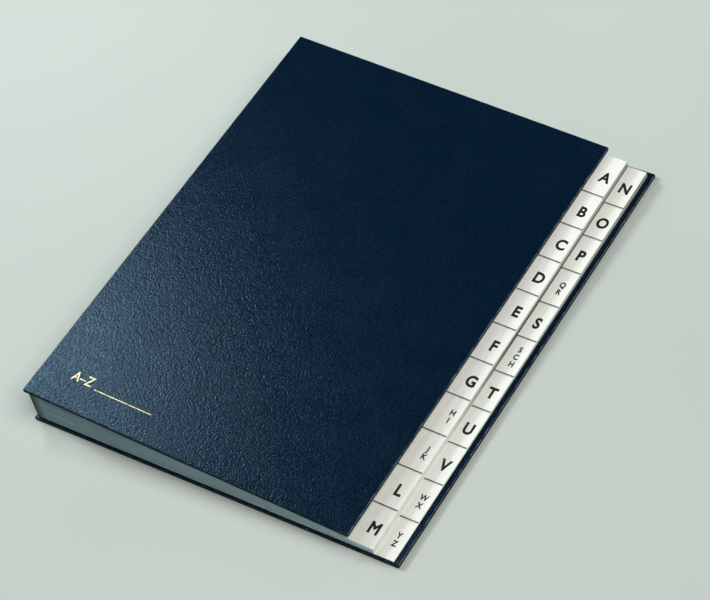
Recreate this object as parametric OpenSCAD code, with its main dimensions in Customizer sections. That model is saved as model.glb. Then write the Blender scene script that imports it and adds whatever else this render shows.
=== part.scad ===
// Alphabetical desk sorter: two board covers, a stiff spine and stair-cut card dividers with two tab columns.
// X runs from the spine to the tabs, Y from the bottom edge to the top edge, Z up from the table.

/* [Covers] */
// Height of both covers along the spine
cover_h = 340; // [280:1:400]
// Width of the back cover from its spine edge to its fore-edge
back_w = 275; // [240:1:310]
// Thickness of the board inside each cover
board_t = 2; // [1.2:0.1:3]
// Thickness of the leatherette and of the lining
skin_t = 0.25; // [0.15:0.05:0.4]
// Width of the leatherette folded onto the inside of each cover
turn_in = 15; // [8:1:25]

/* [Spine] */
// Distance from the covers' spine edge to the hinge lines
spine_inset = 2; // [1.2:0.1:4]
// Thickness of the cloth on the outside of the spine
cloth_t = 0.4; // [0.3:0.05:0.8]
// Thickness of the board strip inside the spine
liner_t = 1.8; // [1:0.1:3]
// Thickness of the cloth hinge flaps
flap_t = 0.25; // [0.2:0.05:0.4]
// Width of the cloth hinge flaps
flap_w = 18; // [14:1:30]
// Width of the card stubs that carry the dividers
stub_w = 8; // [5:0.5:12]

/* [Dividers] */
// Thickness of the divider card
leaf_t = 0.3; // [0.2:0.02:0.36]
// Distance from one divider to the next at the spine
spine_pitch = 1.16; // [0.96:0.02:1.4]
// Free height between two dividers at the fore-edge
fore_gap = 0.05; // [0.04:0.01:0.2]
// Distance from the covers' bottom edge to the dividers
leaf_foot = 1.5; // [1:0.5:6]
// Distance from the covers' top edge to the dividers
leaf_head = 4; // [1:0.5:10]

/* [Tabs] */
// Width of the first tab column beside the front cover
column_1 = 15; // [12:0.5:24]
// Width of the second tab column
column_2 = 14; // [10:0.5:20]
// Width of the back cover left bare beside the second column
bare_edge = 4; // [2:0.5:10]
// Extra height of the first cell in each column
first_extra = 4.5; // [0:0.5:8]
// Thickness of the tab labels
label_t = 0.1; // [0.06:0.02:0.14]
// Distance from a label's edge to the edge of its cell
label_inset = 0.15; // [0.1:0.05:0.5]

/* [Hidden] */

// Rows of tabs in a column, and dividers in all
rows = 11;
leaves = 2 * rows;

// Free height between pieces that lie on each other
rest_gap = 0.05;
// Free distance around a hinge line
hinge_gap = 0.1;
// Distance from the hinge lines to the outside of the spine
wall_gap = 0.3;
// Free height between two stubs
stub_gap = 0.16;
// Width of the first tab column that the front cover hides
hidden_w = 5;
// Share of a sheet's thickness that its rounded hinge edge takes as radius
edge_share = 0.45;

cover_t = board_t + 2 * skin_t;

// Fore-edges of the two tab columns, the front cover's edge and the line that the dividers are cut back to
second_x = back_w - bare_edge;
first_x = second_x - column_2;
front_w = first_x - column_1;
cut_x = front_w - hidden_w;

leaf_y = leaf_foot;
leaf_h = cover_h - leaf_foot - leaf_head;
cell_h = (leaf_h - first_extra) / rows;

// Spine wall and the line where the dividers hinge on their stubs
wall_x = spine_inset + wall_gap;
wall_in = wall_x + cloth_t + liner_t;
leaf_x = wall_in + stub_w;
stub_t = spine_pitch - stub_gap;
stub_end = leaf_t / 2 + hinge_gap;
spine_y = leaf_foot;
spine_h = cover_h - 2 * leaf_foot;

// Heights of the stack over the back cover, at the spine and at the fore-edge
stack_z = cover_t + flap_t + rest_gap;
fore_z = cover_t + rest_gap;
fore_pitch = leaf_t + fore_gap;

// Height of a divider plane at the spine and at the fore-edge, counted in dividers from the back cover
function spine_z(level) = stack_z + level * spine_pitch;
function edge_z(level) = fore_z + level * fore_pitch;
// Downward slope of that plane, in degrees
function slope(level) = atan2(spine_z(level) - edge_z(level), second_x - leaf_x);

// Level of a divider's middle plane: the first divider is the top one
function level_of(index) = leaves - index + 0.5;
// Row of a divider's tab, and whether it is in the second column
function row_of(index) = index > rows ? index - rows : index;
function in_second(index) = index > rows;
// Lower edge of a row of tabs, and the upper edge of the same row
function cell_foot(row) = leaf_y + (rows - row) * cell_h;
function cell_head(row) = row == 1 ? leaf_y + leaf_h : cell_foot(row - 1);
// Length along a sloping divider that ends above a given place on the back cover
function along(x, index) = (x - leaf_x) / cos(slope(level_of(index)));

// Hinge lines of the covers
hinge_x = spine_inset;
back_hinge_z = cover_t + flap_t / 2;
front_slope = slope(leaves);
front_hinge_z = spine_z(leaves) + (leaf_x - hinge_x) * tan(front_slope) + flap_t / (2 * cos(front_slope));
wall_z = back_hinge_z + flap_t / 2 + hinge_gap;
wall_top = front_hinge_z - (wall_in - hinge_x) * tan(front_slope) - flap_t - hinge_gap;

leatherette_colour = [0.03, 0.12, 0.2];
board_colour = [0.5, 0.48, 0.44];
lining_colour = [0.1, 0.15, 0.2];
cloth_colour = [0.03, 0.07, 0.1];
liner_colour = [0.22, 0.29, 0.28];
card_colour = [0.52, 0.6, 0.6];
label_colour = [0.95, 0.95, 0.92];

// Pieces are placed from the back cover's bottom left corner, and this moves them so that the origin
// is in the middle of its underside
module in_frame() translate([-back_w / 2, -cover_h / 2, 0]) children();

// Carries a flat piece from its hinge line, lying along +X, to its sloping place in the stack
module in_place(index)
    in_frame()
        translate([leaf_x, 0, spine_z(level_of(index))])
            rotate([0, slope(level_of(index)), 0])
                children();

// Carries a front cover layer from the hinge line to its place on the stack, with the inside down
module on_stack()
    in_frame()
        translate([hinge_x, 0, front_hinge_z])
            rotate([0, front_slope, 0])
                translate([-spine_inset, 0, flap_t / 2 + cover_t])
                    mirror([0, 0, 1])
                        children();

// Rounded edge along a hinge line
module rounded_edge(radius, y, length)
    translate([0, y, 0])
        rotate([-90, 0, 0])
            cylinder(r = radius, h = length, $fn = 24);

// Board core of a cover that lies with its outside down
module cover_core(width)
    translate([skin_t, skin_t, skin_t])
        cube([width - 2 * skin_t, cover_h - 2 * skin_t, board_t]);

// Leatherette of a cover: it wraps the board and folds onto the inside as a frame
module cover_wrap(width)
    difference() {
        cube([width, cover_h, cover_t]);
        cover_core(width);
        translate([turn_in, turn_in, skin_t + board_t / 2])
            cube([width - 2 * turn_in, cover_h - 2 * turn_in, cover_t]);
    }

// Lining sheet of a cover, inside the folded frame
module cover_sheet(width)
    translate([turn_in, turn_in, skin_t + board_t])
        cube([width - 2 * turn_in, cover_h - 2 * turn_in, skin_t]);

// Cloth flap that starts with a rounded edge on the hinge line and lies along +X
module hinge_flap()
    union() {
        translate([0, spine_y, -flap_t / 2])
            cube([flap_w, spine_h, flap_t]);
        rounded_edge(edge_share * flap_t, spine_y, spine_h);
    }

// Outline of a divider: its own column is left down to its cell, and cut away below it
function leaf_outline(index) =
    let (
        row = row_of(index),
        out_x = along(in_second(index) ? second_x : first_x, index),
        in_x = along(in_second(index) ? first_x : cut_x, index),
        top = leaf_y + leaf_h,
        foot = cell_foot(row)
    )
    row == rows
        ? [[0, leaf_y], [out_x, leaf_y], [out_x, top], [0, top]]
        : [[0, leaf_y], [in_x, leaf_y], [in_x, foot], [out_x, foot], [out_x, top], [0, top]];

// Divider card with its rounded edge on its own hinge line
module leaf(index)
    union() {
        translate([0, 0, -leaf_t / 2])
            linear_extrude(leaf_t)
                polygon(leaf_outline(index));
        rounded_edge(edge_share * leaf_t, leaf_y, leaf_h);
    }

// Label on the cell that a divider shows
module label(index) {
    row = row_of(index);
    left = along(in_second(index) ? first_x : cut_x, index) + 2 * label_inset;
    right = along(in_second(index) ? second_x : first_x, index) - label_inset;
    foot = cell_foot(row) + label_inset;
    head = cell_head(row) - label_inset;
    translate([left, foot, leaf_t / 2])
        cube([right - left, head - foot, label_t]);
}

module back_board() color(board_colour) in_frame() cover_core(back_w);
module back_leatherette() color(leatherette_colour) in_frame() cover_wrap(back_w);
module back_lining() color(lining_colour) in_frame() cover_sheet(back_w);
module back_hinge_flap()
    color(cloth_colour) in_frame() translate([hinge_x, 0, back_hinge_z]) hinge_flap();

module spine_cloth()
    color(cloth_colour)
        in_frame()
            translate([wall_x, spine_y, wall_z])
                cube([cloth_t, spine_h, wall_top - wall_z]);

module spine_liner()
    color(liner_colour)
        in_frame()
            translate([wall_x + cloth_t, spine_y, wall_z])
                cube([liner_t, spine_h, wall_top - wall_z]);

module binding_stubs()
    color(card_colour)
        in_frame()
            for (index = [1 : leaves])
                translate([wall_in, leaf_y, spine_z(level_of(index)) - stub_t / 2])
                    cube([stub_w - stub_end, leaf_h, stub_t]);

module front_board() color(board_colour) on_stack() cover_core(front_w);
module front_leatherette() color(leatherette_colour) on_stack() cover_wrap(front_w);
module front_lining() color(lining_colour) on_stack() cover_sheet(front_w);
module front_hinge_flap()
    color(cloth_colour)
        in_frame()
            translate([hinge_x, 0, front_hinge_z])
                rotate([0, front_slope, 0])
                    hinge_flap();

module divider_a() color(card_colour) in_place(1) leaf(1);
module divider_b() color(card_colour) in_place(2) leaf(2);
module divider_c() color(card_colour) in_place(3) leaf(3);
module divider_d() color(card_colour) in_place(4) leaf(4);
module divider_e() color(card_colour) in_place(5) leaf(5);
module divider_f() color(card_colour) in_place(6) leaf(6);
module divider_g() color(card_colour) in_place(7) leaf(7);
module divider_hi() color(card_colour) in_place(8) leaf(8);
module divider_jk() color(card_colour) in_place(9) leaf(9);
module divider_l() color(card_colour) in_place(10) leaf(10);
module divider_m() color(card_colour) in_place(11) leaf(11);
module divider_n() color(card_colour) in_place(12) leaf(12);
module divider_o() color(card_colour) in_place(13) leaf(13);
module divider_p() color(card_colour) in_place(14) leaf(14);
module divider_qr() color(card_colour) in_place(15) leaf(15);
module divider_s() color(card_colour) in_place(16) leaf(16);
module divider_sch() color(card_colour) in_place(17) leaf(17);
module divider_t() color(card_colour) in_place(18) leaf(18);
module divider_u() color(card_colour) in_place(19) leaf(19);
module divider_v() color(card_colour) in_place(20) leaf(20);
module divider_wx() color(card_colour) in_place(21) leaf(21);
module divider_yz() color(card_colour) in_place(22) leaf(22);

module tab_a() color(label_colour) in_place(1) label(1);
module tab_b() color(label_colour) in_place(2) label(2);
module tab_c() color(label_colour) in_place(3) label(3);
module tab_d() color(label_colour) in_place(4) label(4);
module tab_e() color(label_colour) in_place(5) label(5);
module tab_f() color(label_colour) in_place(6) label(6);
module tab_g() color(label_colour) in_place(7) label(7);
module tab_hi() color(label_colour) in_place(8) label(8);
module tab_jk() color(label_colour) in_place(9) label(9);
module tab_l() color(label_colour) in_place(10) label(10);
module tab_m() color(label_colour) in_place(11) label(11);
module tab_n() color(label_colour) in_place(12) label(12);
module tab_o() color(label_colour) in_place(13) label(13);
module tab_p() color(label_colour) in_place(14) label(14);
module tab_qr() color(label_colour) in_place(15) label(15);
module tab_s() color(label_colour) in_place(16) label(16);
module tab_sch() color(label_colour) in_place(17) label(17);
module tab_t() color(label_colour) in_place(18) label(18);
module tab_u() color(label_colour) in_place(19) label(19);
module tab_v() color(label_colour) in_place(20) label(20);
module tab_wx() color(label_colour) in_place(21) label(21);
module tab_yz() color(label_colour) in_place(22) label(22);

back_board();
back_leatherette();
back_lining();
back_hinge_flap();
spine_cloth();
spine_liner();
binding_stubs();
front_board();
front_leatherette();
front_lining();
front_hinge_flap();
divider_a();
divider_b();
divider_c();
divider_d();
divider_e();
divider_f();
divider_g();
divider_hi();
divider_jk();
divider_l();
divider_m();
divider_n();
divider_o();
divider_p();
divider_qr();
divider_s();
divider_sch();
divider_t();
divider_u();
divider_v();
divider_wx();
divider_yz();
tab_a();
tab_b();
tab_c();
tab_d();
tab_e();
tab_f();
tab_g();
tab_hi();
tab_jk();
tab_l();
tab_m();
tab_n();
tab_o();
tab_p();
tab_qr();
tab_s();
tab_sch();
tab_t();
tab_u();
tab_v();
tab_wx();
tab_yz();
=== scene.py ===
# %% [markdown]
# # Alphabetical desk sorter
# A desk sorter is a wide, flat book of 22 cards. Papers go between the cards, and each card shows one
# white tab with its letters along the right-hand side. This lesson dresses the CAD model of one:
# leatherette covers with rounded edges, folded cloth hinges, printed letters and a small gold mark.
# The CAD model is loaded first and never moved, so every new piece is built where the CAD says.

# %% Load the CAD model
import math

import bmesh
import bpy
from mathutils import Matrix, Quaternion, Vector


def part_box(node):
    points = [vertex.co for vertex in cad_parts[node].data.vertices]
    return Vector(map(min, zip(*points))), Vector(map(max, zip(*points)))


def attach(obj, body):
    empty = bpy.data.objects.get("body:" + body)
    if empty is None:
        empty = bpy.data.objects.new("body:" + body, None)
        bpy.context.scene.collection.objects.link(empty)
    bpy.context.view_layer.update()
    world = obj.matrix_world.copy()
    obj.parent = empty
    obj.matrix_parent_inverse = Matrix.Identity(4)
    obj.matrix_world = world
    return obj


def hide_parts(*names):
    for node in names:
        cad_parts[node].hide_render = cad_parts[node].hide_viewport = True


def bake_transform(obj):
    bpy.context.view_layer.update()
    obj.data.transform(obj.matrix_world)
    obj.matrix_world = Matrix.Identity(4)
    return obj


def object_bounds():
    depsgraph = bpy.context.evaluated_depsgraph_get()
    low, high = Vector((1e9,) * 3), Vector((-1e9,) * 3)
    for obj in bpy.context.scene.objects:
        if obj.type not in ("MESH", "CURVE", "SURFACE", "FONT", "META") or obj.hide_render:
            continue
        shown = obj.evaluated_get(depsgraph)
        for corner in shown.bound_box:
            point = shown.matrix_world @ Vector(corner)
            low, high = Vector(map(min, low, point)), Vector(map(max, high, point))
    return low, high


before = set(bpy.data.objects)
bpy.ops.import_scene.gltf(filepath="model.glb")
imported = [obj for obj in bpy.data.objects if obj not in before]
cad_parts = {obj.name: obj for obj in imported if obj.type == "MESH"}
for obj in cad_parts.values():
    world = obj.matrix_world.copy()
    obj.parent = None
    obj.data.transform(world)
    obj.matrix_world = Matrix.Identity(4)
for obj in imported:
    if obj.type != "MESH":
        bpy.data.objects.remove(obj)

cad_low, cad_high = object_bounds()
cad_size = cad_high - cad_low
print("CAD box in mm:", [round(1000 * side, 2) for side in cad_size])

# %% [markdown]
# ## Camera
# The photograph looks down on the sorter from its lower right corner, with the camera rolled a little.
# The place, the direction and the focal length come from a fit of the cover and tab corners to the
# photograph, so the picture is framed with no lens shift at all.

# %% Camera
image_width_px = 710
focal_px = 2491.4
sensor_mm = 36.0
camera_place = Vector((0.72233, -0.78927, 1.22731))
camera_looks = Vector((-0.44144, 0.48483, -0.75503))
camera_roll = math.radians(-14.77)

camera_data = bpy.data.cameras.new("camera")
camera_data.sensor_width = sensor_mm
camera_data.lens = sensor_mm * focal_px / image_width_px
camera = bpy.data.objects.new("camera", camera_data)
bpy.context.collection.objects.link(camera)
camera.location = camera_place
camera.rotation_mode = "QUATERNION"
camera.rotation_quaternion = camera_looks.to_track_quat("-Z", "Y") @ Quaternion((0, 0, 1), camera_roll)
bpy.context.scene.camera = camera
print("camera lens:", round(camera_data.lens, 1), "mm")

# %% [markdown]
# ## Floor and light
# A studio sweep is a pale floor that curves up into a wall, so no horizon shows. Here it is a disc whose
# rim is extruded upwards and rounded with a wide bevel. Dark covers show every light they mirror, so
# the general light comes from the right, where the covers can't mirror it into the camera. A second,
# low light from the left throws the shadows of the front cover and of the first column on the tabs.
# One small soft box stands behind the spine, and its glow dies away across the front cover. Two more
# stand far off and low, and lift the shade on the spine and on the head of the cards.

# %% Helpers for meshes
def start_piece(name):
    """Names the object that an operator has just added, and returns it."""
    piece = bpy.context.object
    piece.name = name
    piece.data.name = name
    return piece


def select_parts(piece, kind, wanted):
    """In edit mode, selects the faces or edges for which wanted is true, and nothing else."""
    bpy.ops.mesh.select_mode(type=kind)
    bpy.ops.mesh.select_all(action="DESELECT")
    mesh = bmesh.from_edit_mesh(piece.data)
    parts = mesh.faces if kind == "FACE" else mesh.edges
    chosen = [part for part in parts if wanted(part)]
    for part in chosen:
        part.select_set(True)
    bmesh.update_edit_mesh(piece.data)


def apply_place(piece):
    """Moves the object's place, turn and size into its mesh."""
    bpy.ops.object.select_all(action="DESELECT")
    piece.select_set(True)
    bpy.context.view_layer.objects.active = piece
    bpy.ops.object.transform_apply(location=True, rotation=True, scale=True)


def new_box(name, size):
    """Adds a box of the given size, centred on the origin."""
    bpy.ops.object.select_all(action="DESELECT")
    bpy.ops.mesh.primitive_cube_add(size=1)
    box = start_piece(name)
    box.scale = size
    apply_place(box)
    return box


# %% Studio sweep
sweep_radius = 4.0
sweep_wall = 1.6
sweep_bend = 1.2
near_floor = 0.001

bpy.ops.object.select_all(action="DESELECT")
bpy.ops.mesh.primitive_circle_add(vertices=96, radius=sweep_radius, fill_type="NGON")
sweep = start_piece("studio_sweep")
bpy.ops.object.mode_set(mode="EDIT")
select_parts(sweep, "EDGE", lambda edge: True)
bpy.ops.mesh.extrude_edges_move(TRANSFORM_OT_translate={"value": (0, 0, sweep_wall)})
select_parts(sweep, "EDGE", lambda edge: all(corner.co.z < near_floor for corner in edge.verts))
bpy.ops.mesh.bevel(offset=sweep_bend, segments=10, affect="EDGES")
bpy.ops.mesh.select_all(action="SELECT")
bpy.ops.mesh.normals_make_consistent(inside=True)
bpy.ops.object.mode_set(mode="OBJECT")
bpy.ops.object.shade_smooth_by_angle(angle=math.radians(30))
print("sweep faces:", len(sweep.data.polygons))


# %% Helpers for lamps
def hang_lamp(name, kind, travels, strength, colour):
    """Adds a lamp whose light leaves along the direction travels, and returns it."""
    lamp = bpy.data.objects.new(name, bpy.data.lights.new(name, kind))
    lamp.data.energy = strength
    lamp.data.color = colour
    lamp.rotation_mode = "QUATERNION"
    lamp.rotation_quaternion = Vector(travels).to_track_quat("-Z", "Y")
    bpy.context.collection.objects.link(lamp)
    return lamp


def soft_box(name, place, aim, side, watts, colour):
    """A square area lamp at place that faces aim."""
    lamp = hang_lamp(name, "AREA", Vector(aim) - Vector(place), watts, colour)
    lamp.location = place
    lamp.data.shape = "SQUARE"
    lamp.data.size = side


def far_lamp(name, travels, strength, softness_deg, colour):
    """A distant lamp whose light travels one way, with shadows as soft as asked."""
    lamp = hang_lamp(name, "SUN", travels, strength, colour)
    lamp.data.angle = math.radians(softness_deg)


# %% Lamps
blue_white = (0.82, 0.92, 1.0)
fill_white = (0.94, 0.98, 1.0)
warm_white = (1.0, 0.98, 0.93)
cool_white = (0.90, 0.98, 1.0)

glow = {"side": 0.22, "watts": 1.9, "colour": blue_white}
fill = {"side": 0.5, "watts": 3.5, "colour": fill_white}
soft_box("glow_lamp", place=(-0.54, 0.185, 0.713), aim=(-0.16, -0.15, 0.03), **glow)
soft_box("spine_fill", place=(-1.45, -0.10, 0.60), aim=(-0.13, 0.0, 0.02), **fill)
soft_box("head_fill", place=(0.35, 1.45, 0.60), aim=(0.0, 0.16, 0.02), **fill)

general = {"strength": 1.95, "softness_deg": 40, "colour": warm_white}
low_side = {"strength": 2.3, "softness_deg": 12, "colour": cool_white}
far_lamp("general_lamp", travels=(-0.55, 0.03, -0.85), **general)
far_lamp("side_lamp", travels=(0.89, -0.08, -0.45), **low_side)
print("lamps:", [lamp.name for lamp in bpy.data.lights])

# %% World
air_colour = (0.86, 0.93, 1.0, 1.0)
air_strength = 0.07

world = bpy.data.worlds.new("studio_air")
bpy.context.scene.world = world
world.use_nodes = True
air = world.node_tree.nodes["Background"]
air.inputs["Color"].default_value = air_colour
air.inputs["Strength"].default_value = air_strength
bpy.context.scene.view_settings.view_transform = "Standard"
print("world:", world.name)

# %% [markdown]
# ## Shared surface effects
# Several finishes need the same effect at a different scale, so each effect is a node group that is
# built once. Leatherette has pebbles, card and paper have fibres, book cloth has threads, and anything
# that is handled is rubbed pale along its edges, with a painted highlight along the top edge. The
# groups only put out heights and masks. Each material then decides what colour, gloss and bump they
# make.


# %% Helpers for node trees
def add_node(tree, kind, values=None, **settings):
    """Adds a node, sets its properties and then its input sockets by name or number."""
    made = tree.nodes.new(kind)
    for setting, value in settings.items():
        setattr(made, setting, value)
    for socket, value in (values or {}).items():
        made.inputs[socket].default_value = value
    return made


def wire(tree, source, target):
    """Joins an output socket to an input socket."""
    tree.links.new(source, target)


def add_texture(tree, kind, coordinates, values, **settings):
    """A texture node that reads the given coordinates."""
    texture = add_node(tree, kind, values, **settings)
    wire(tree, coordinates, texture.inputs["Vector"])
    return texture


def split_place(tree, coordinates):
    """Parts coordinates into X, Y and Z. Returns the node whose outputs they are."""
    place = add_node(tree, "ShaderNodeSeparateXYZ")
    wire(tree, coordinates, place.inputs[0])
    return place


# %% Helpers for sums, ranges and groups
def calculate(tree, operation, first, second=None):
    """A Math node on two sockets or numbers. Returns its output socket."""
    step = add_node(tree, "ShaderNodeMath", operation=operation)
    for place, value in enumerate((first, second)):
        if isinstance(value, bpy.types.NodeSocket):
            wire(tree, value, step.inputs[place])
        elif value is not None:
            step.inputs[place].default_value = value
    return step.outputs[0]


def spread(tree, value, low, high, to_low=0.0, to_high=1.0):
    """A clamped Map Range node. Returns its output socket."""
    ranged = add_node(tree, "ShaderNodeMapRange", {1: low, 2: high, 3: to_low, 4: to_high})
    wire(tree, value, ranged.inputs[0])
    return ranged.outputs[0]


def new_effect(name, inputs, outputs):
    """An empty shader node group with a vector, float inputs with defaults, and float outputs."""
    tree = bpy.data.node_groups.new(name, "ShaderNodeTree")
    tree.interface.new_socket("Vector", in_out="INPUT", socket_type="NodeSocketVector")
    for socket, value in inputs.items():
        made = tree.interface.new_socket(socket, in_out="INPUT", socket_type="NodeSocketFloat")
        made.default_value = value
    for socket in outputs:
        tree.interface.new_socket(socket, in_out="OUTPUT", socket_type="NodeSocketFloat")
    return tree, tree.nodes.new("NodeGroupInput"), tree.nodes.new("NodeGroupOutput")


# %% Pebble grain of leatherette
pebble_rim = 0.75
crease_rate = 0.8
crease_height = 0.4
patches_per_metre = 34.0
noise_low = 0.3
noise_high = 0.7


def make_pebble_grain():
    """Small rounded pebbles with soft valleys, and broad patches that vary the gloss."""
    tree, given, out = new_effect("pebble_grain", {"Pebbles per metre": 900.0}, ("Height", "Patch"))
    place = given.outputs["Vector"]
    rate = given.outputs["Pebbles per metre"]
    pebbles = add_texture(tree, "ShaderNodeTexVoronoi", place, {"Randomness": 1.0}, feature="SMOOTH_F1")
    creases = add_texture(tree, "ShaderNodeTexNoise", place, {"Detail": 4.0, "Roughness": 0.6})
    patches = add_texture(tree, "ShaderNodeTexNoise", place, {"Scale": patches_per_metre, "Detail": 3.0})
    wire(tree, rate, pebbles.inputs["Scale"])
    wire(tree, calculate(tree, "MULTIPLY", rate, crease_rate), creases.inputs["Scale"])
    domes = spread(tree, pebbles.outputs["Distance"], 0.0, pebble_rim, 1.0, 0.0)
    wrinkles = calculate(tree, "MULTIPLY", creases.outputs["Fac"], crease_height)
    wire(tree, calculate(tree, "ADD", domes, wrinkles), out.inputs["Height"])
    wire(tree, spread(tree, patches.outputs["Fac"], noise_low, noise_high), out.inputs["Patch"])
    return tree


pebble_grain = make_pebble_grain()
print("effect:", pebble_grain.name)


# %% Fibres of card and paper
fibre_stretch = (1.0, 0.18, 1.0)
fleck_rate = 0.4
fleck_core = 0.02
fleck_rim = 0.16
clouds_per_metre = 22.0


def make_card_fibre():
    """Fine fibres that lie mostly along one direction, sparse darker flecks, and broad clouds."""
    tree, given, out = new_effect("card_fibre", {"Fibres per metre": 700.0}, ("Height", "Fleck", "Cloud"))
    place = given.outputs["Vector"]
    rate = given.outputs["Fibres per metre"]
    stretched = add_node(tree, "ShaderNodeMapping", {"Scale": fibre_stretch})
    wire(tree, place, stretched.inputs["Vector"])
    along = stretched.outputs["Vector"]
    fibres = add_texture(tree, "ShaderNodeTexNoise", along, {"Detail": 5.0, "Roughness": 0.65})
    flecks = add_texture(tree, "ShaderNodeTexVoronoi", along, {"Randomness": 1.0})
    clouds = add_texture(tree, "ShaderNodeTexNoise", place, {"Scale": clouds_per_metre, "Detail": 2.0})
    wire(tree, rate, fibres.inputs["Scale"])
    wire(tree, calculate(tree, "MULTIPLY", rate, fleck_rate), flecks.inputs["Scale"])
    wire(tree, fibres.outputs["Fac"], out.inputs["Height"])
    sparse = spread(tree, flecks.outputs["Distance"], fleck_core, fleck_rim, 1.0, 0.0)
    wire(tree, sparse, out.inputs["Fleck"])
    wire(tree, spread(tree, clouds.outputs["Fac"], noise_low, noise_high), out.inputs["Cloud"])
    return tree


card_fibre = make_card_fibre()
print("effect:", card_fibre.name)


# %% Threads of book cloth
gap_share = 0.35


def make_cloth_weave():
    """Plain weave: threads along the sorter's height, crossed by threads that follow the fold."""
    tree, given, out = new_effect("cloth_weave", {"Threads per metre": 1600.0}, ("Height", "Gap"))
    place = split_place(tree, given.outputs["Vector"])
    across = calculate(tree, "ADD", place.outputs["X"], place.outputs["Z"])
    turns = calculate(tree, "MULTIPLY", given.outputs["Threads per metre"], math.pi)
    warp = calculate(tree, "SINE", calculate(tree, "MULTIPLY", across, turns))
    weft = calculate(tree, "SINE", calculate(tree, "MULTIPLY", place.outputs["Y"], turns))
    crossing = calculate(tree, "MULTIPLY", warp, weft)
    wire(tree, spread(tree, crossing, -1.0, 1.0), out.inputs["Height"])
    from_gap = calculate(tree, "ABSOLUTE", crossing)
    wire(tree, spread(tree, from_gap, 0.0, gap_share, 1.0, 0.0), out.inputs["Gap"])
    return tree


cloth_weave = make_cloth_weave()
print("effect:", cloth_weave.name)


# %% Rub and painted highlight along the edges of a cover
ends_spared = 0.6
scuffs_per_metre = 160.0
scuff_low = 0.35
scuff_high = 0.65
scuff_reach = 0.9
rub_highlight_core = 0.25
rub_highlight_end = 1.3
rim_start = 0.0001
rim_end = 0.0006
side_share = 0.15
mitre_core = 0.0001
mitre_end = 0.0004


def make_edge_rub_highlight():
    """Centred masks: rims worn pale with a painted highlight, most at the fore-edge, and turn-in mitres."""
    sizes = {"Half Width": 0.1, "Half Length": 0.1, "Half Thickness": 0.001, "Rub Width": 0.002}
    tree, given, out = new_effect("edge_rub_highlight", {**sizes, "Inner Side": 1.0}, ("Mask", "Mitre"))
    centred = given.outputs["Vector"]
    width = given.outputs["Rub Width"]
    place = split_place(tree, centred)
    from_middle_x = calculate(tree, "ABSOLUTE", place.outputs["X"])
    from_middle_y = calculate(tree, "ABSOLUTE", place.outputs["Y"])
    from_middle_z = calculate(tree, "ABSOLUTE", place.outputs["Z"])
    side_x = calculate(tree, "SUBTRACT", given.outputs["Half Width"], from_middle_x)
    side_y = calculate(tree, "SUBTRACT", given.outputs["Half Length"], from_middle_y)
    below_rim = calculate(tree, "SUBTRACT", given.outputs["Half Thickness"], from_middle_z)
    spared = calculate(tree, "MULTIPLY", width, ends_spared)
    nearest = calculate(tree, "MINIMUM", side_x, calculate(tree, "ADD", side_y, spared))
    rim = calculate(tree, "DIVIDE", nearest, width)
    scuff = {"Scale": scuffs_per_metre, "Detail": 4.0, "Roughness": 0.7}
    scuffs = add_texture(tree, "ShaderNodeTexNoise", centred, scuff)
    uneven = spread(tree, scuffs.outputs["Fac"], scuff_low, scuff_high, 0.0, scuff_reach)
    # The rim mask is partly real wear and partly a painted highlight along the top edge.
    rubbed_highlight = spread(tree, calculate(tree, "ADD", rim, uneven), rub_highlight_core, rub_highlight_end, 1.0, 0.0)
    near_rim = spread(tree, below_rim, rim_start, rim_end, 1.0, side_share)
    wire(tree, calculate(tree, "MULTIPLY", rubbed_highlight, near_rim), out.inputs["Mask"])
    apart = calculate(tree, "ABSOLUTE", calculate(tree, "SUBTRACT", side_x, side_y))
    seam = spread(tree, apart, mitre_core, mitre_end, 1.0, 0.0)
    inwards = calculate(tree, "MULTIPLY", place.outputs["Z"], given.outputs["Inner Side"])
    inside = calculate(tree, "GREATER_THAN", inwards, 0.0)
    wire(tree, calculate(tree, "MULTIPLY", seam, inside), out.inputs["Mitre"])
    return tree


edge_rub_highlight = make_edge_rub_highlight()
print("effect:", edge_rub_highlight.name)


# %% Streaks of the stacked cards
top_low, top_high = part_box("divider_a")
bottom_low, bottom_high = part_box("divider_yz")
spine_stack = top_high.z - bottom_low.z
fore_stack = top_low.z - bottom_low.z
stack_run = top_high.x - top_low.x
meeting_x = top_low.x + stack_run * spine_stack / (spine_stack - fore_stack)
streak_drift = 14.0
tone_low = 0.34
tone_high = 0.66


def make_stack_streaks():
    """Tones that differ from card to card. The cards fan out from one line, so the streaks do too."""
    tree, given, out = new_effect("stack_streaks", {"Streaks": 420.0}, ("Streak",))
    place = split_place(tree, given.outputs["Vector"])
    height = calculate(tree, "SUBTRACT", place.outputs["Z"], bottom_low.z)
    run = calculate(tree, "SUBTRACT", meeting_x, place.outputs["X"])
    steepness = calculate(tree, "DIVIDE", height, run)
    fan = add_node(tree, "ShaderNodeCombineXYZ")
    wire(tree, calculate(tree, "MULTIPLY", steepness, given.outputs["Streaks"]), fan.inputs["X"])
    wire(tree, calculate(tree, "MULTIPLY", place.outputs["X"], streak_drift), fan.inputs["Y"])
    noise = {"Scale": 1.0, "Detail": 3.0, "Roughness": 0.6}
    tones = add_texture(tree, "ShaderNodeTexNoise", fan.outputs["Vector"], noise)
    wire(tree, spread(tree, tones.outputs["Fac"], tone_low, tone_high), out.inputs["Streak"])
    return tree


stack_streaks = make_stack_streaks()
print("cards meet at x =", round(1000 * meeting_x), "mm")

# %% [markdown]
# ## Finishes
# Each finish is one material with its own Principled shader. Numbers that are the same all over, such
# as the level of the reflections, sit on the shader's own sockets. Only what changes over the surface
# comes in through a link. Colours are written as they should look in plain light.


# %% Helpers for materials
def linear(red, green, blue):
    """A colour given in the usual 0 to 255 screen values, as the linear colour that shaders use."""
    parts = [channel / 255 for channel in (red, green, blue)]
    curve = [part / 12.92 if part <= 0.04045 else ((part + 0.055) / 1.055) ** 2.4 for part in parts]
    return (*curve, 1.0)


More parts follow.
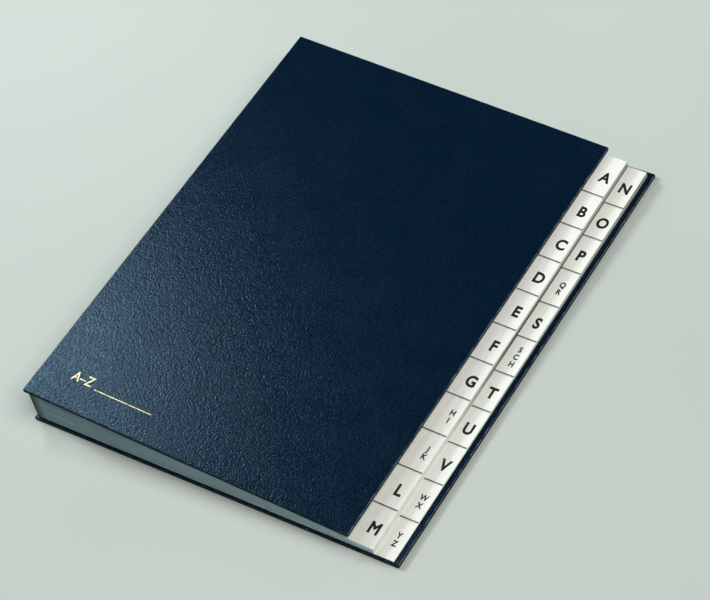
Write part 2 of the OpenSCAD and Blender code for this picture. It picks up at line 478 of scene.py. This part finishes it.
def new_finish(name, roughness, reflections):
    """An empty material. Returns the material, its tree, its shader and its Object coordinates."""
    finish = bpy.data.materials.new(name)
    finish.use_nodes = True
    tree = finish.node_tree
    shader = tree.nodes["Principled BSDF"]
    shader.inputs["Roughness"].default_value = roughness
    shader.inputs["Specular IOR Level"].default_value = reflections
    coordinates = add_node(tree, "ShaderNodeTexCoord").outputs["Object"]
    return finish, tree, shader, coordinates


def add_effect(tree, effect, coordinates, **values):
    """Places a node group in a material with its own values, fed with coordinates."""
    placed = add_node(tree, "ShaderNodeGroup", node_tree=effect)
    wire(tree, coordinates, placed.inputs["Vector"])
    for socket, value in values.items():
        placed.inputs[socket.replace("_", " ")].default_value = value
    return placed


# %% Helpers for colour, gloss and bump
def mix_colours(tree, share, first, second):
    """Mixes two colours, or colour sockets, by a mask. Returns the colour socket."""
    mixed = add_node(tree, "ShaderNodeMix", data_type="RGBA")
    wire(tree, share, mixed.inputs["Factor"])
    for socket, value in ((mixed.inputs[6], first), (mixed.inputs[7], second)):
        if isinstance(value, bpy.types.NodeSocket):
            wire(tree, value, socket)
        else:
            socket.default_value = value
    return mixed.outputs[2]


def vary_roughness(tree, shader, mask, low, high):
    """Lets the roughness wander from low to high with a mask."""
    wire(tree, spread(tree, mask, 0.0, 1.0, low, high), shader.inputs["Roughness"])


def add_bump(tree, shader, height, depth, strength):
    """Bump of a real depth in metres on the shader's normal."""
    bump = add_node(tree, "ShaderNodeBump", {"Strength": strength, "Distance": depth})
    wire(tree, height, bump.inputs["Height"])
    wire(tree, bump.outputs["Normal"], shader.inputs["Normal"])


# %% Slope of the front cover
level_limit = 0.5


def facing(node_name):
    """Outward direction of a CAD node's largest upper face, and how far that plane is from the origin."""
    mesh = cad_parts[node_name].data
    uppers = [face for face in mesh.polygons if face.normal.z > level_limit]
    direction = max(uppers, key=lambda face: face.area).normal.copy()
    reach = max(direction.dot(corner.co) for corner in mesh.vertices)
    return direction, reach


front_up = facing("front_board")[0]
front_slope = math.atan2(front_up.x, front_up.z)
print("front cover slopes by", round(math.degrees(front_slope), 2), "degrees")

# %% [markdown]
# ### Leatherette
# The covers' leatherette is embossed with a fine pebble grain, darker in its valleys, and rubbed pale
# along the edges, where a painted highlight on the top edge adds to the wear. A picture of leather
# would blur up close, so the grain is made by the pebble group, as colour and as bump. A Mapping node
# lays it in each cover's own plane. Round the board's edges the sheet is stretched, so a second,
# duller finish has its grain pressed flat and its colour darkened with painted shade.

# %% Leatherette for the two covers
navy = linear(1, 27, 52)
navy_valley = linear(1, 16, 32)
# Pale rim colour: partly real wear, partly a painted highlight along the top edge.
navy_rub_highlight = linear(128, 134, 140)
blue_reflections = (0.50, 0.80, 1.0, 1.0)
pebble_count = 950.0
valley_height = 0.35
dome_height = 1.1
pebble_depth = 0.00014
rub_highlight_width = 0.0007
rub_highlight_strength = 0.8


def leatherette_finish(name, centre, slope, size, inner_side):
    """Dark navy leatherette. The pattern is centred on its cover and lies in the cover's own plane."""
    finish, tree, shader, coordinates = new_finish(name, roughness=0.2, reflections=0.38)
    shader.inputs["Specular Tint"].default_value = blue_reflections
    placed = {"Location": centre, "Rotation": (0.0, slope, 0.0)}
    flat = add_node(tree, "ShaderNodeMapping", placed, vector_type="TEXTURE")
    wire(tree, coordinates, flat.inputs["Vector"])
    in_cover = flat.outputs["Vector"]
    halves = {"Half_Width": size.x / 2, "Half_Length": size.y / 2, "Half_Thickness": size.z / 2}
    grain = add_effect(tree, pebble_grain, in_cover, Pebbles_per_metre=pebble_count)
    rub_and_highlight = add_effect(tree, edge_rub_highlight, in_cover, Rub_Width=rub_highlight_width, Inner_Side=inner_side, **halves)
    tone = spread(tree, grain.outputs["Height"], valley_height, dome_height)
    pebbled = mix_colours(tree, tone, navy_valley, navy)
    rubbed_highlight = calculate(tree, "MULTIPLY", rub_and_highlight.outputs["Mask"], rub_highlight_strength)
    worn_highlighted = mix_colours(tree, rubbed_highlight, pebbled, navy_rub_highlight)
    wire(tree, mix_colours(tree, rub_and_highlight.outputs["Mitre"], worn_highlighted, navy_valley), shader.inputs["Base Color"])
    vary_roughness(tree, shader, grain.outputs["Patch"], low=0.21, high=0.27)
    add_bump(tree, shader, grain.outputs["Height"], pebble_depth, strength=1.0)
    return finish


# %% Pressed leatherette
# Painted shade: the narrow sides of the covers are coloured darker than their faces.
navy_side_shade = linear(1, 8, 15)
pressed_depth = 0.00003


def pressed_and_shaded_finish():
    """Leatherette pulled tight round the board's edge: flat, dull grain, darkened by painted shade."""
    finish, tree, shader, coordinates = new_finish("leatherette_pressed_and_shaded", roughness=0.6, reflections=0.1)
    grain = add_effect(tree, pebble_grain, coordinates, Pebbles_per_metre=pebble_count)
    tone = spread(tree, grain.outputs["Height"], valley_height, dome_height)
    wire(tree, mix_colours(tree, tone, navy_side_shade, navy_valley), shader.inputs["Base Color"])
    vary_roughness(tree, shader, grain.outputs["Patch"], low=0.55, high=0.7)
    add_bump(tree, shader, grain.outputs["Height"], pressed_depth, strength=0.6)
    return finish


pressed_and_shaded = pressed_and_shaded_finish()
print("finish:", pressed_and_shaded.name)

# %% [markdown]
# ### Boards, papers and cloth
# Board, lining paper and labels are all made of fibres, so one function makes them: only the colours,
# the size of the fibres and their flecks differ. Book cloth is woven. Its threads are far too fine to
# model one by one, so the weave group shades them.

# %% Boards, lining and labels
fibre_low = 0.35
fibre_high = 0.7
fibre_strength = 0.6
fibre_reflections = 0.35
smoother = 0.05
duller = 0.06


def fibre_finish(name, pale, dark, roughness, fibres, depth, fleck_share):
    """Card, paper or board: fibres and flecks colour it, and clouds change its gloss."""
    finish, tree, shader, coordinates = new_finish(name, roughness, fibre_reflections)
    fibre = add_effect(tree, card_fibre, coordinates, Fibres_per_metre=fibres)
    shade = spread(tree, fibre.outputs["Height"], fibre_low, fibre_high)
    flecks = calculate(tree, "MULTIPLY", fibre.outputs["Fleck"], fleck_share)
    shaded = mix_colours(tree, shade, dark, pale)
    wire(tree, mix_colours(tree, flecks, shaded, dark), shader.inputs["Base Color"])
    vary_roughness(tree, shader, fibre.outputs["Cloud"], roughness - smoother, roughness + duller)
    add_bump(tree, shader, fibre.outputs["Height"], depth, fibre_strength)
    return finish


greyboard = fibre_finish(
    "greyboard", linear(142, 140, 132), linear(112, 110, 104),
    roughness=0.85, fibres=420.0, depth=0.00006, fleck_share=0.45,
)
spine_board = fibre_finish(
    "spine_board", linear(74, 94, 90), linear(46, 64, 62),
    roughness=0.85, fibres=500.0, depth=0.00006, fleck_share=0.4,
)
lining = fibre_finish(
    "lining", linear(42, 54, 68), linear(30, 41, 54),
    roughness=0.7, fibres=800.0, depth=0.00003, fleck_share=0.2,
)
label = fibre_finish(
    "label", linear(244, 244, 237), linear(237, 236, 229),
    roughness=0.55, fibres=900.0, depth=0.00001, fleck_share=0.06,
)
print("finishes:", len(bpy.data.materials))

# %% Book cloth
thread_count = 1500.0
thread_depth = 0.00008
cloth_sheen = 0.15


def cloth_finish(name, thread, gap):
    """Dark book cloth: the gaps between its threads are darker, and it has a soft sheen."""
    finish, tree, shader, coordinates = new_finish(name, roughness=0.75, reflections=0.3)
    shader.inputs["Sheen Weight"].default_value = cloth_sheen
    weave = add_effect(tree, cloth_weave, coordinates, Threads_per_metre=thread_count)
    wire(tree, mix_colours(tree, weave.outputs["Gap"], thread, gap), shader.inputs["Base Color"])
    vary_roughness(tree, shader, weave.outputs["Gap"], low=0.66, high=0.86)
    add_bump(tree, shader, weave.outputs["Height"], thread_depth, strength=0.7)
    return finish


cloth = cloth_finish("cloth", thread=linear(12, 28, 42), gap=linear(5, 12, 20))
print("finish:", cloth.name)

# %% [markdown]
# ### Divider card
# The dividers are blue-green card. Their cut edges show most: at the foot and head they are streaked,
# because each card is cut and dyed a little differently, and painted shade darkens them towards the
# spine. Along the tabs they are cream, with painted shade that greys them towards the top and darkens
# them next to the step below the first column. Each edge could be a piece of its own, but one material
# that asks where it is on the stack gives the same look on all 22 cards. The stubs take the same
# streaks, with painted shade that darkens them at the spine.

# %% Cut edges of the cards
# Painted shade: the cut edges are coloured darker at the spine end than at the tab end.
cut_pale_spine_shaded = linear(170, 206, 216)
cut_dark_spine_shaded = linear(108, 146, 158)
cut_pale_fore = linear(226, 240, 248)
cut_dark_fore = linear(146, 172, 182)


def cut_edge_colour(tree, place, streaks):
    """Streaked cut edges with painted shade that darkens them towards the spine, where the gaps are wider.
    """
    to_tabs = spread(tree, place.outputs["X"], top_low.x, top_high.x)
    dark = mix_colours(tree, to_tabs, cut_dark_spine_shaded, cut_dark_fore)
    pale = mix_colours(tree, to_tabs, cut_pale_spine_shaded, cut_pale_fore)
    return mix_colours(tree, streaks.outputs["Streak"], dark, pale)


# %% Divider card
card_pale = linear(196, 212, 212)
card_dark = linear(178, 195, 196)
fore_cream = linear(232, 232, 228)
# Painted shade: the fore-edges grey towards the top, and darken next to the step below the first column.
fore_top_shade = linear(160, 162, 158)
fore_corner_shade = linear(92, 94, 90)
card_fibres = 600.0
card_depth = 0.00002
cut_depth = 0.0003
fore_depth = 0.0008
corner_shade_height = 0.0016
corner_shade_core = corner_shade_height / 5
corner_shade_start_y = top_low.y / 2
top_shade_start_y = top_low.y / 3
step_up, step_reach = facing("divider_n")
step_floor = (step_reach - step_up.x * top_high.x) / step_up.z


def card_finish():
    """Blue-green card, streaked at foot and head, with painted shade on the cut edges and fore-edges."""
    finish, tree, shader, coordinates = new_finish("card", roughness=0.68, reflections=fibre_reflections)
    place = split_place(tree, coordinates)
    fibre = add_effect(tree, card_fibre, coordinates, Fibres_per_metre=card_fibres)
    streaks = add_effect(tree, stack_streaks, coordinates)
    shade = spread(tree, fibre.outputs["Height"], fibre_low, fibre_high)
    face = mix_colours(tree, shade, card_dark, card_pale)
    cut = cut_edge_colour(tree, place, streaks)
    foot = spread(tree, place.outputs["Y"], top_low.y, top_low.y + cut_depth, 1.0, 0.0)
    head = spread(tree, place.outputs["Y"], top_high.y - cut_depth, top_high.y)
    body = mix_colours(tree, calculate(tree, "MAXIMUM", foot, head), face, cut)
    from_first = calculate(tree, "ABSOLUTE", calculate(tree, "SUBTRACT", place.outputs["X"], top_high.x))
    first = spread(tree, from_first, fore_depth / 2, fore_depth, 1.0, 0.0)
    second = spread(tree, place.outputs["X"], bottom_high.x - fore_depth, bottom_high.x - fore_depth / 2)
    # Painted shade on the fore-edges: greyer towards the top, darker next to the step floor.
    top_shade = spread(tree, place.outputs["Y"], top_shade_start_y, top_high.y)
    over_step = calculate(tree, "SUBTRACT", place.outputs["Z"], step_floor)
    contact = spread(tree, over_step, corner_shade_core, corner_shade_height, 1.0, 0.0)
    corner_shade = calculate(tree, "MULTIPLY", contact, spread(tree, place.outputs["Y"], corner_shade_start_y, 0.0))
    outer_rim = mix_colours(tree, top_shade, fore_cream, fore_top_shade)
    inner_rim = mix_colours(tree, corner_shade, outer_rim, fore_corner_shade)
    edged = mix_colours(tree, second, body, outer_rim)
    wire(tree, mix_colours(tree, first, edged, inner_rim), shader.inputs["Base Color"])
    vary_roughness(tree, shader, fibre.outputs["Cloud"], low=0.63, high=0.74)
    add_bump(tree, shader, fibre.outputs["Height"], card_depth, fibre_strength)
    return finish


card = card_finish()
print("finish:", card.name)

# %% Stubs of the cards
# Painted shade: the stubs are coloured darker at the spine end.
stub_shade_pale = linear(82, 102, 98)
stub_shade_dark = linear(50, 68, 65)
stub_depth = 0.00003
free_end_share = 0.75


def stub_finish():
    """The cards' stubs: painted shade makes them dark at the spine, more like the cards' cut edge further
    in.
    """
    finish, tree, shader, coordinates = new_finish("stub", roughness=0.8, reflections=fibre_reflections)
    place = split_place(tree, coordinates)
    fibre = add_effect(tree, card_fibre, coordinates, Fibres_per_metre=card_fibres)
    streaks = add_effect(tree, stack_streaks, coordinates)
    stub_low, stub_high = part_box("binding_stubs")
    free = spread(tree, place.outputs["X"], stub_low.x, stub_high.x, 0.0, free_end_share)
    cut = cut_edge_colour(tree, place, streaks)
    spine_shaded = mix_colours(tree, streaks.outputs["Streak"], stub_shade_dark, stub_shade_pale)
    wire(tree, mix_colours(tree, free, spine_shaded, cut), shader.inputs["Base Color"])
    vary_roughness(tree, shader, fibre.outputs["Cloud"], low=0.75, high=0.86)
    add_bump(tree, shader, fibre.outputs["Height"], stub_depth, fibre_strength)
    return finish


stub = stub_finish()
print("finish:", stub.name)

# %% [markdown]
# ### Ink, gold foil and studio paper
# Printing ink is thin and a little uneven, so paper fibres show through it. Gold foil is stamped on
# the grain, so it is bright on the pebbles and dull in the valleys: metal with the pebble group gives
# both. The floor is plain paper, and only a very faint mottle keeps it from looking flat.

# %% Ink
ink_black = linear(16, 16, 18)
ink_thin = linear(70, 70, 70)
ink_fibres = 1500.0
thin_from = 0.55
thin_to = 0.8
thin_share = 0.35
ink_relief = 0.00001


def ink_finish():
    """Black print: dense, with a little paper showing through where it is thin."""
    finish, tree, shader, coordinates = new_finish("ink", roughness=0.45, reflections=0.4)
    fibre = add_effect(tree, card_fibre, coordinates, Fibres_per_metre=ink_fibres)
    thin = spread(tree, fibre.outputs["Height"], thin_from, thin_to, 0.0, thin_share)
    wire(tree, mix_colours(tree, thin, ink_black, ink_thin), shader.inputs["Base Color"])
    vary_roughness(tree, shader, fibre.outputs["Cloud"], low=0.4, high=0.55)
    add_bump(tree, shader, fibre.outputs["Height"], ink_relief, strength=0.4)
    return finish


ink = ink_finish()
print("finish:", ink.name)

# %% Gold foil
foil_dull = linear(178, 160, 110)
foil_bright = linear(236, 222, 168)
foil_metal = 0.75
foil_pebbles = 1100.0
foil_relief = 0.00004
bare_height = 0.25
foiled_height = 0.8
polish_from = 0.3


def foil_finish():
    """Hot-stamped gold foil: bright on the pebbles, broken and dull in the valleys."""
    finish, tree, shader, coordinates = new_finish("gold_foil", roughness=0.35, reflections=0.5)
    shader.inputs["Metallic"].default_value = foil_metal
    grain = add_effect(tree, pebble_grain, coordinates, Pebbles_per_metre=foil_pebbles)
    broken = spread(tree, grain.outputs["Height"], bare_height, foiled_height)
    wire(tree, mix_colours(tree, broken, foil_dull, foil_bright), shader.inputs["Base Color"])
    polish = spread(tree, grain.outputs["Height"], polish_from, dome_height, to_low=0.55, to_high=0.3)
    wire(tree, polish, shader.inputs["Roughness"])
    add_bump(tree, shader, grain.outputs["Height"], foil_relief, strength=0.5)
    return finish


foil = foil_finish()
print("finish:", foil.name)

# %% Studio paper
paper_shade = linear(187, 194, 188)
paper_light = linear(194, 200, 194)
mottles_per_metre = 2.5


def floor_finish():
    """Seamless studio paper, pale grey with a hint of green and a very faint mottle."""
    finish, tree, shader, coordinates = new_finish("studio_paper", roughness=0.9, reflections=0.1)
    noise = {"Scale": mottles_per_metre, "Detail": 2.0}
    mottle = add_texture(tree, "ShaderNodeTexNoise", coordinates, noise)
    soft = spread(tree, mottle.outputs["Fac"], noise_low, noise_high)
    wire(tree, mix_colours(tree, soft, paper_shade, paper_light), shader.inputs["Base Color"])
    return finish


sweep.data.materials.append(floor_finish())
print("finishes:", [finish.name for finish in bpy.data.materials])

# %% [markdown]
# ## CAD pieces that keep their shape
# Dividers are flat cards and labels are flat slips, and the boards, linings, spine liner and stubs
# are plain too, so the CAD solids already have the right shape. Building them again would add
# nothing, so they only take a finish, and the node's name tells which.

# %% Finishes on the CAD pieces
finish_of = {
    "back_board": greyboard,
    "front_board": greyboard,
    "back_lining": lining,
    "front_lining": lining,
    "spine_liner": spine_board,
    "binding_stubs": stub,
}


def dress(name, solid):
    """Gives a CAD node its finish, in the node's own material slot."""
    if name.startswith("tab_"):
        finish = label
    elif name.startswith("divider_"):
        finish = card
    else:
        finish = finish_of.get(name)
    if finish is None:
        return False
    solid.data.materials.clear()
    solid.data.materials.append(finish)
    return True


dressed = [name for name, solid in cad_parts.items() if dress(name, solid)]
print("CAD pieces with a finish:", len(dressed))

# %% [markdown]
# ## Leatherette covers
# A real cover is a sheet of leatherette glued round a board: it rounds over the board's edges and is
# turned in along all four sides of the inner face. A box with bevelled corners and edges has that
# outside. Both large faces first get a narrow inset ring, so that smooth shading rounds the edge and
# leaves the rest flat. The inner face is inset again by the width of the turn-in and opened. Insets
# come before bevels, because a rounded corner would fold over itself. Solidify then gives the sheet its
# thickness, so board and lining still sit inside.

# %% One cover skin
skin_thickness = 0.00025
turn_in = 0.015
corner_round = 0.0007
edge_round = 0.0004
flat_ring = 0.0005
flat_limit = 0.99
smooth_angle = math.radians(35)


def thicken(piece, thickness, offset):
    """Gives a sheet its thickness, all to the inside at offset -1 and to both sides at 0."""
    wall = piece.modifiers.new("sheet", "SOLIDIFY")
    wall.thickness = thickness
    wall.offset = offset
    bpy.ops.object.modifier_apply(modifier=wall.name)
    bpy.ops.object.shade_smooth_by_angle(angle=smooth_angle)


def on_rim(edge):
    """Whether an edge lies between an upright side and one of the two large faces."""
    upright = [abs(face.normal.z) < level_limit for face in edge.link_faces]
    return len(upright) == 2 and upright[0] != upright[1]


def cover_skin(name, size):
    """A wrapped leatherette skin, centred, with its open inner face upwards."""
    skin = new_box(name, size)
    bpy.ops.object.mode_set(mode="EDIT")
    select_parts(skin, "FACE", lambda face: abs(face.normal.z) > flat_limit)
    bpy.ops.mesh.inset(thickness=edge_round + flat_ring)
    half_area = size.x * size.y / 2
    select_parts(skin, "FACE", lambda face: face.normal.z > flat_limit and face.calc_area() > half_area)
    bpy.ops.mesh.inset(thickness=turn_in - edge_round - flat_ring)
    bpy.ops.mesh.delete(type="FACE")
    select_parts(skin, "EDGE", lambda edge: abs(edge.verts[0].co.z - edge.verts[1].co.z) > size.z / 2)
    bpy.ops.mesh.bevel(offset=corner_round, segments=4, affect="EDGES")
    select_parts(skin, "EDGE", on_rim)
    bpy.ops.mesh.bevel(offset=edge_round, segments=4, affect="EDGES")
    bpy.ops.object.mode_set(mode="OBJECT")
    thicken(skin, skin_thickness, offset=-1.0)
    return skin


# %% Finishes of one skin
def finish_skin(skin, grained):
    """Grained leatherette on the large faces, and the pressed kind with painted shade on the narrow sides.
    """
    skin.data.materials.append(grained)
    skin.data.materials.append(pressed_and_shaded)
    sides = [face for face in skin.data.polygons if abs(face.normal.z) < level_limit]
    for face in sides:
        face.material_index = 1
    return len(sides)


# %% Back cover
back_low, back_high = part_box("back_leatherette")
back_size = back_high - back_low
back_centre = (back_low + back_high) / 2
back_slope = 0.0
inner_up = 1.0

back_skin = cover_skin("back_cover_skin", back_size)
back_skin.location = back_centre
apply_place(back_skin)
back_grained = leatherette_finish("leatherette_back", back_centre, back_slope, back_size, inner_up)
back_sides = finish_skin(back_skin, back_grained)
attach(back_skin, "back_cover")
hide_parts("back_leatherette")
print("back cover faces:", len(back_skin.data.polygons), "of which on the sides:", back_sides)

# %% Front cover
front_low, front_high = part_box("front_leatherette")
front_centre = (front_low + front_high) / 2
front_run = front_high.x - front_low.x
front_width = (front_run - back_size.z * math.sin(front_slope)) / math.cos(front_slope)
front_size = Vector((front_width, back_size.y, back_size.z))

front_skin = cover_skin("front_cover_skin", front_size)
front_skin.rotation_euler = (0, math.pi + front_slope, 0)
front_skin.location = front_centre
apply_place(front_skin)
front_grained = leatherette_finish("leatherette_front", front_centre, front_slope, front_size, -inner_up)
finish_skin(front_skin, front_grained)
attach(front_skin, "front_cover")
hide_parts("front_leatherette")
print("front cover width:", round(1000 * front_width, 1), "mm")

# %% [markdown]
# ## Cloth hinges
# Each cover hangs on the spine by a strip of book cloth: one leg is glued inside the cover, the other
# on the spine, and the fold between them is the hinge. Two stiff strips would part when the cover
# moves, so each tape is one piece. It starts as a flat plane for the first leg.

# %% One hinge tape
tape_thickness = 0.0002
fold_radius = 0.00022
fold_steps = 6
fold_slack = 1e-5
merge_gap = 1e-6


def hinge_tape(name, flap_end, fold_start, fold_centre, fold_angle, wall_end, near_y, far_y):
    """A cloth strip given by points in the X-Z plane: a flap, a fold about +Y, and a wall."""
    bpy.ops.object.select_all(action="DESELECT")
    bpy.ops.mesh.primitive_plane_add(size=1)
    tape = start_piece(name)
    flap = fold_start - flap_end
    tape.scale = (flap.length, far_y - near_y, 1)
    tape.rotation_euler = (0, math.atan2(flap.z, -flap.x), 0)
    tape.location = (flap_end + fold_start) / 2 + Vector((0, (near_y + far_y) / 2, 0))
    apply_place(tape)
    bpy.ops.object.mode_set(mode="EDIT")
    along = flap.normalized()
    at_fold = along.dot(fold_start) - fold_slack
    select_parts(tape, "EDGE", lambda edge: all(along.dot(corner.co) > at_fold for corner in edge.verts))
    bpy.ops.mesh.spin(steps=fold_steps, angle=fold_angle, center=fold_centre, axis=(0, 1, 0))
    mesh = bmesh.from_edit_mesh(tape.data)
    last = max(corner.co.z for corner in mesh.verts if corner.select)
    bpy.ops.mesh.extrude_edges_move(TRANSFORM_OT_translate={"value": (0, 0, wall_end - last)})
    bpy.ops.mesh.select_all(action="SELECT")
    bpy.ops.mesh.remove_doubles(threshold=merge_gap)
    bpy.ops.mesh.normals_make_consistent(inside=False)
    bpy.ops.object.mode_set(mode="OBJECT")
    thicken(tape, tape_thickness, offset=0.0)
    tape.data.materials.append(cloth)
    fold_length = fold_radius * abs(fold_angle)
    flat_width = flap.length + fold_length + abs(wall_end - last)
    return tape, (flat_width, far_y - near_y)


def in_plane(x, z):
    """A point of the cross-section through the hinges."""
    return Vector((x, 0, z))


# %% Hinge between back cover and spine
flap_low, flap_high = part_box("back_hinge_flap")
cloth_low, cloth_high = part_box("spine_cloth")
spine_middle = (cloth_low.z + cloth_high.z) / 2
wall_x = cloth_high.x - tape_thickness / 2
lower_centre = in_plane(wall_x + fold_radius, (flap_low.z + flap_high.z) / 2 + fold_radius)
lower_start = lower_centre - in_plane(0, fold_radius)

lower_tape, lower_flat = hinge_tape(
    "back_hinge_tape",
    flap_end=in_plane(flap_high.x, lower_start.z),
    fold_start=lower_start,
    fold_centre=lower_centre,
    fold_angle=-math.pi / 2,
    wall_end=spine_middle,
    near_y=flap_low.y,
    far_y=flap_high.y,
)
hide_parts("back_hinge_flap")
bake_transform(lower_tape)
print("lower tape cut to:", [round(1000 * side, 1) for side in lower_flat], "mm")

# %% Hinge between spine and front cover
flap_up, flap_reach = facing("front_hinge_flap")
flap_middle = flap_reach - tape_thickness / 2
flap_margin = 0.0002


def on_flap(x):
    """The point of the front flap's middle plane above a place x."""
    return in_plane(x, (flap_middle - flap_up.x * x) / flap_up.z)


upper_start = on_flap(wall_x + fold_radius * (1 + flap_up.x))
upper_centre = upper_start - fold_radius * flap_up

upper_tape, upper_flat = hinge_tape(
    "front_hinge_tape",
    flap_end=on_flap(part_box("front_hinge_flap")[1].x - flap_margin),
    fold_start=upper_start,
    fold_centre=upper_centre,
    fold_angle=math.pi / 2 + front_slope,
    wall_end=spine_middle,
    near_y=flap_low.y,
    far_y=flap_high.y,
)
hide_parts("front_hinge_flap")
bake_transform(upper_tape)
print("upper tape cut to:", [round(1000 * side, 1) for side in upper_flat], "mm")

# %% [markdown]
# ## Spine strip
# The outside of the spine is one more strip of the same cloth, which covers the legs of both hinge
# tapes. A plane would show no thickness at its ends, so it is a thin slab. Its outer edges are softly
# rounded, because cloth has no sharp corner.

# %% Spine strip
strip_edge = 0.00008

strip_x = cloth_high.x - tape_thickness - cloth_low.x
strip_middle = cloth_low.x + strip_x / 2
strip = new_box("spine_strip", (strip_x, cloth_high.y - cloth_low.y, cloth_high.z - cloth_low.z))
strip.location = (strip_middle, (cloth_low.y + cloth_high.y) / 2, spine_middle)
apply_place(strip)
bpy.ops.object.mode_set(mode="EDIT")
select_parts(strip, "EDGE", lambda edge: all(corner.co.x < strip_middle for corner in edge.verts))
bpy.ops.mesh.bevel(offset=strip_edge, segments=3, affect="EDGES")
bpy.ops.object.mode_set(mode="OBJECT")
bpy.ops.object.shade_smooth_by_angle(angle=smooth_angle)
strip.data.materials.append(cloth)
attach(strip, "spine")
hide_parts("spine_cloth")

# %% [markdown]
# ## Printed letters
# The tabs carry the alphabet in heavy black capitals. Single letters are large, and letters that share
# a tab are small and stand one above the other. A picture of them would blur up close, so each is a
# text object made heavier with a bevel round its outline, turned into a mesh, narrowed, pressed flat,
# and laid on its label's own sloping face. A fine black rule is printed along the foot of each label
# that has another one below it.

# %% One printed mark
cap_share = 0.729
ink_depth = 0.00002
ink_merge_gap = 1e-7
letter_stretch = 0.84
line_spacing = 1.05
outline_steps = 6


def printed(name, words, cap_height, weight):
    """A flat mark of letters, centred on the origin, as a thin mesh."""
    bpy.ops.object.select_all(action="DESELECT")
    bpy.ops.object.text_add()
    mark = bpy.context.object
    mark.data.body = words
    mark.data.align_x = "CENTER"
    mark.data.space_line = line_spacing
    mark.data.size = cap_height / cap_share
    mark.data.bevel_depth = weight * cap_height
    mark.data.bevel_resolution = 0
    mark.data.resolution_u = outline_steps
    bpy.ops.object.convert(target="MESH")
    mark = start_piece(name)
    bpy.ops.object.mode_set(mode="EDIT")
    bpy.ops.mesh.select_all(action="SELECT")
    bpy.ops.mesh.remove_doubles(threshold=ink_merge_gap)
    bpy.ops.object.mode_set(mode="OBJECT")
    bpy.ops.object.origin_set(type="ORIGIN_GEOMETRY", center="BOUNDS")
    mark.scale = (letter_stretch, 1, ink_depth / mark.dimensions.z)
    return mark


# %% One printed rule
rule_end_share = 0.45


def printed_rule(name, length, width):
    """A fine flat rule with rounded ends, centred on the origin."""
    rule = new_box(name, (length, width, ink_depth))
    bpy.ops.object.mode_set(mode="EDIT")
    select_parts(rule, "EDGE", lambda edge: abs(edge.verts[0].co.z - edge.verts[1].co.z) > ink_depth / 2)
    bpy.ops.mesh.bevel(offset=width * rule_end_share, segments=4, affect="EDGES")
    bpy.ops.object.mode_set(mode="OBJECT")
    return rule


# %% A mark on a sloping face
ink_lift = 0.4


def lay_on(mark, node_name, x, y):
    """Lays a flat mark on the upper face of a sloping CAD node, at a place in the frame."""
    direction, reach = facing(node_name)
    z = (reach - direction.x * x - direction.y * y) / direction.z
    mark.rotation_euler = (0, math.atan2(direction.x, direction.z), 0)
    mark.location = Vector((x, y, z)) + direction * ink_depth * ink_lift
    apply_place(mark)


# %% Letters on the tabs
single_cap = 0.0086
shared_cap = 0.0043
letter_weight = 0.055
single_shift = Vector((0.0011, -0.0012))
shared_shift = Vector((0.0014, -0.0003))
first_column_shift = 0.0010
second_column_shift = -0.0008
rule_width = 0.00062
rule_hidden = 0.0035

tabs = [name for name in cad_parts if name.startswith("tab_")]
lowest_foot = min(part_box(name)[0].y for name in tabs)
rules = 0
for name in tabs:
    letters = name.removeprefix("tab_")
    shared = len(letters) > 1
    low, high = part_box(name)
    shown_low = max(low.x, front_high.x)
    shown_x = (shown_low + high.x) / 2
    cap = shared_cap if shared else single_cap
    shift = shared_shift if shared else single_shift
    if low.x > front_high.x:
        shown_x += second_column_shift
    elif shared:
        shown_x += first_column_shift
    mark = printed("letters_" + letters, "\n".join(letters.upper()), cap, letter_weight)
    lay_on(mark, name, shown_x + shift.x, (low.y + high.y) / 2 + shift.y)
    inked = [mark]
    if low.y > lowest_foot + rule_width:
        rule_low = max(low.x, front_high.x - rule_hidden)
        rule = printed_rule("rule_" + letters, high.x - rule_low, rule_width)
        lay_on(rule, name, (rule_low + high.x) / 2, low.y + rule_width / 2)
        inked.append(rule)
        rules += 1
    for print_piece in inked:
        print_piece.data.materials.append(ink)
        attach(print_piece, "leaf_" + letters)
print("tabs with letters:", len(tabs), "and with a rule:", rules)

# %% [markdown]
# ## Gold mark
# A small mark is hot-stamped in gold near the lower left corner of the front cover. It says what the
# sorter holds, the letters from A to Z, and a fine gold rule runs on from it along the cover's edge.
# Foil is as thin as ink, so both are made as the letters and rules on the tabs are.

# %% Gold mark on the front cover
mark_cap = 0.0075
gold_weight = 0.012
mark_place = Vector((0.0310, 0.0245))
gold_rule_length = 0.044
gold_rule_width = 0.0006
rule_place = Vector((0.0640, 0.0205))
corner = Vector((back_low.x, back_low.y))

gold_letters = printed("gold_letters", "A–Z", mark_cap, gold_weight)
lay_on(gold_letters, "front_leatherette", corner.x + mark_place.x, corner.y + mark_place.y)

gold_rule = printed_rule("gold_rule", gold_rule_length, gold_rule_width)
lay_on(gold_rule, "front_leatherette", corner.x + rule_place.x, corner.y + rule_place.y)

for gold in (gold_letters, gold_rule):
    gold.data.materials.append(foil)
    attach(gold, "front_cover")
print("gold pieces:", gold_letters.name, gold_rule.name)
